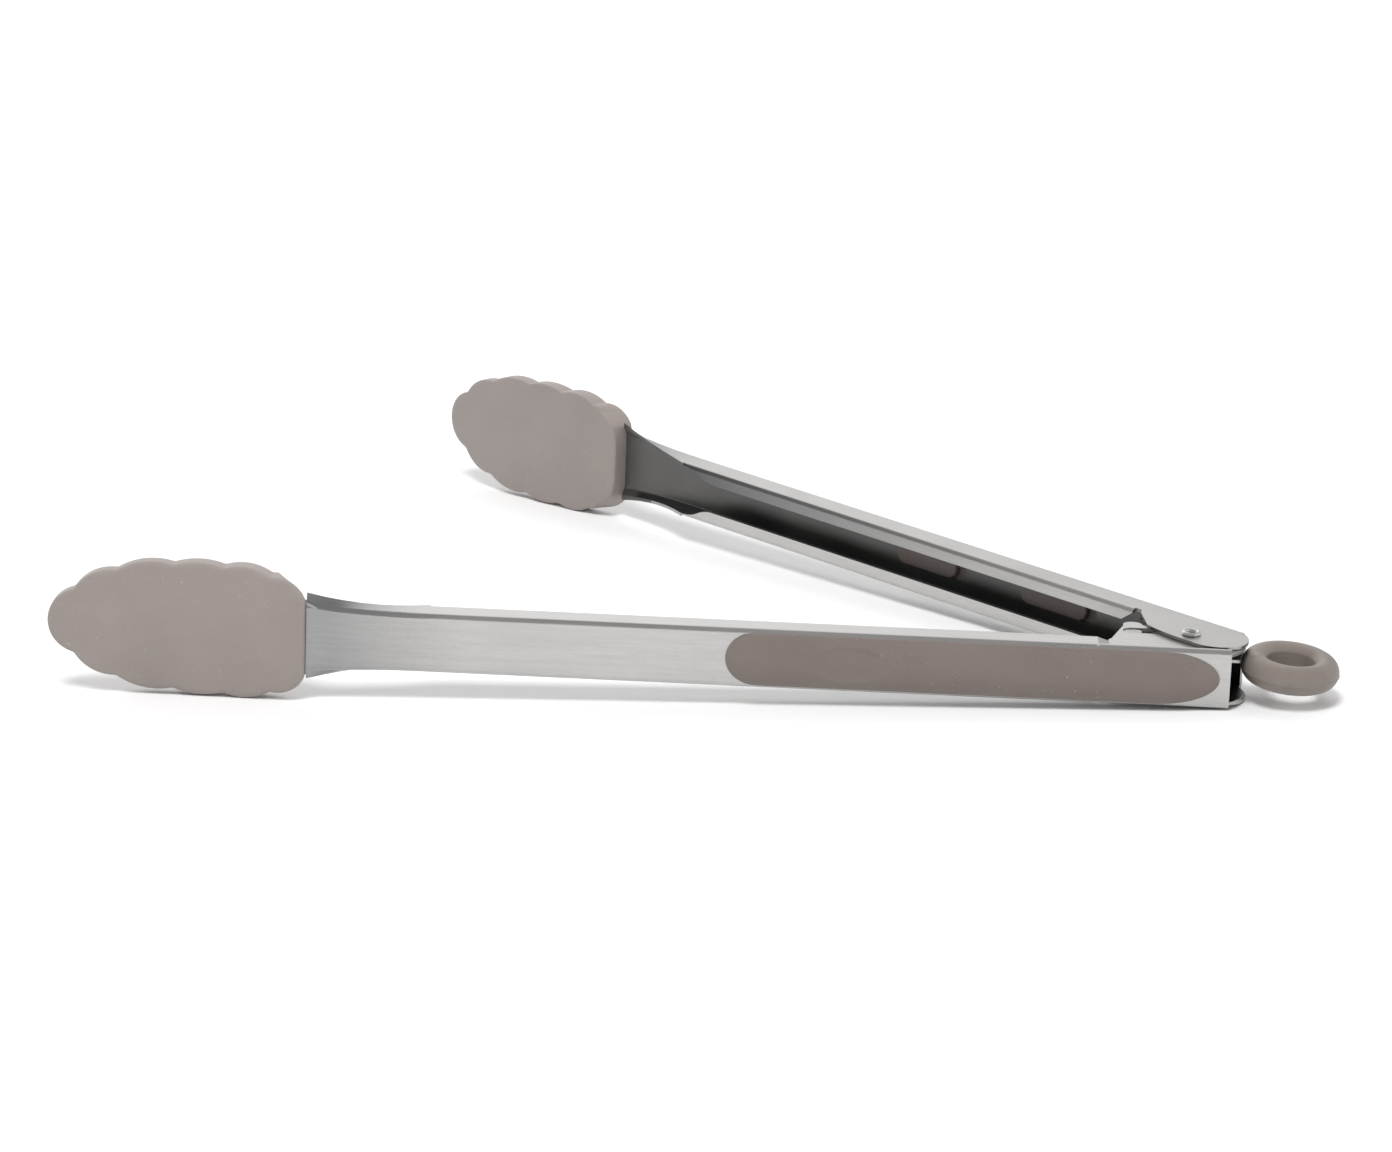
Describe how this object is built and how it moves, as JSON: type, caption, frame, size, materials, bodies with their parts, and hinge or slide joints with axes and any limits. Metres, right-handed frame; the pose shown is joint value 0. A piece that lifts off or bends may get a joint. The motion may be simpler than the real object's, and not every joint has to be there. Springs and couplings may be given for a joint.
{
  "type": "spring loaded kitchen tongs",
  "caption": "Spring loaded tongs with channel arms, scalloped silicone heads, soft grip pads, a riveted hinge and a pull ring that locks them closed.",
  "frame": {"origin": "on the hinge rivet's axis, midway between the ears", "axes": "+Z along the rivet; the front arm reaches along -X with its back towards -Y; the rear arm opens towards +Y"},
  "size_m": [0.3504, 0.2396, 0.0374],
  "materials": {
    "brushed_steel": "brushed along the arm",
    "soft_grip": "matt soft touch",
    "silicone": "matt silicone",
    "polished_steel": "polished",
    "nylon": "moulded",
    "spring_wire": "drawn wire",
    "yoke_steel": "stamped sheet",
    "ring_plastic": "satin moulded"
  },
  "bodies": {
    "front": {"front_arm": "brushed_steel", "front_grip": "soft_grip", "front_head": "silicone", "hinge_rivet": "polished_steel", "spring_bush": "nylon", "torsion_spring": "spring_wire"},
    "rear": {"rear_arm": "brushed_steel", "rear_grip": "soft_grip", "rear_head": "silicone"},
    "lock": {"lock_yoke": "yoke_steel", "pull_ring": "ring_plastic"}
  },
  "joints": [
    {"name": "arm_hinge", "type": "hinge", "parent": "front", "child": "rear", "pos_m": [0, 0, 0], "axis": [0, 0, 1], "range_deg": [0, 45.7], "stiffness_Nm_per_rad": 0.32, "springref_deg": -35.52, "deforming": ["torsion_spring"]},
    {"name": "lock_slide", "type": "slide", "parent": "front", "child": "lock", "axis": [1, 0, 0], "range_m": [0, 0.006]}
  ]
}
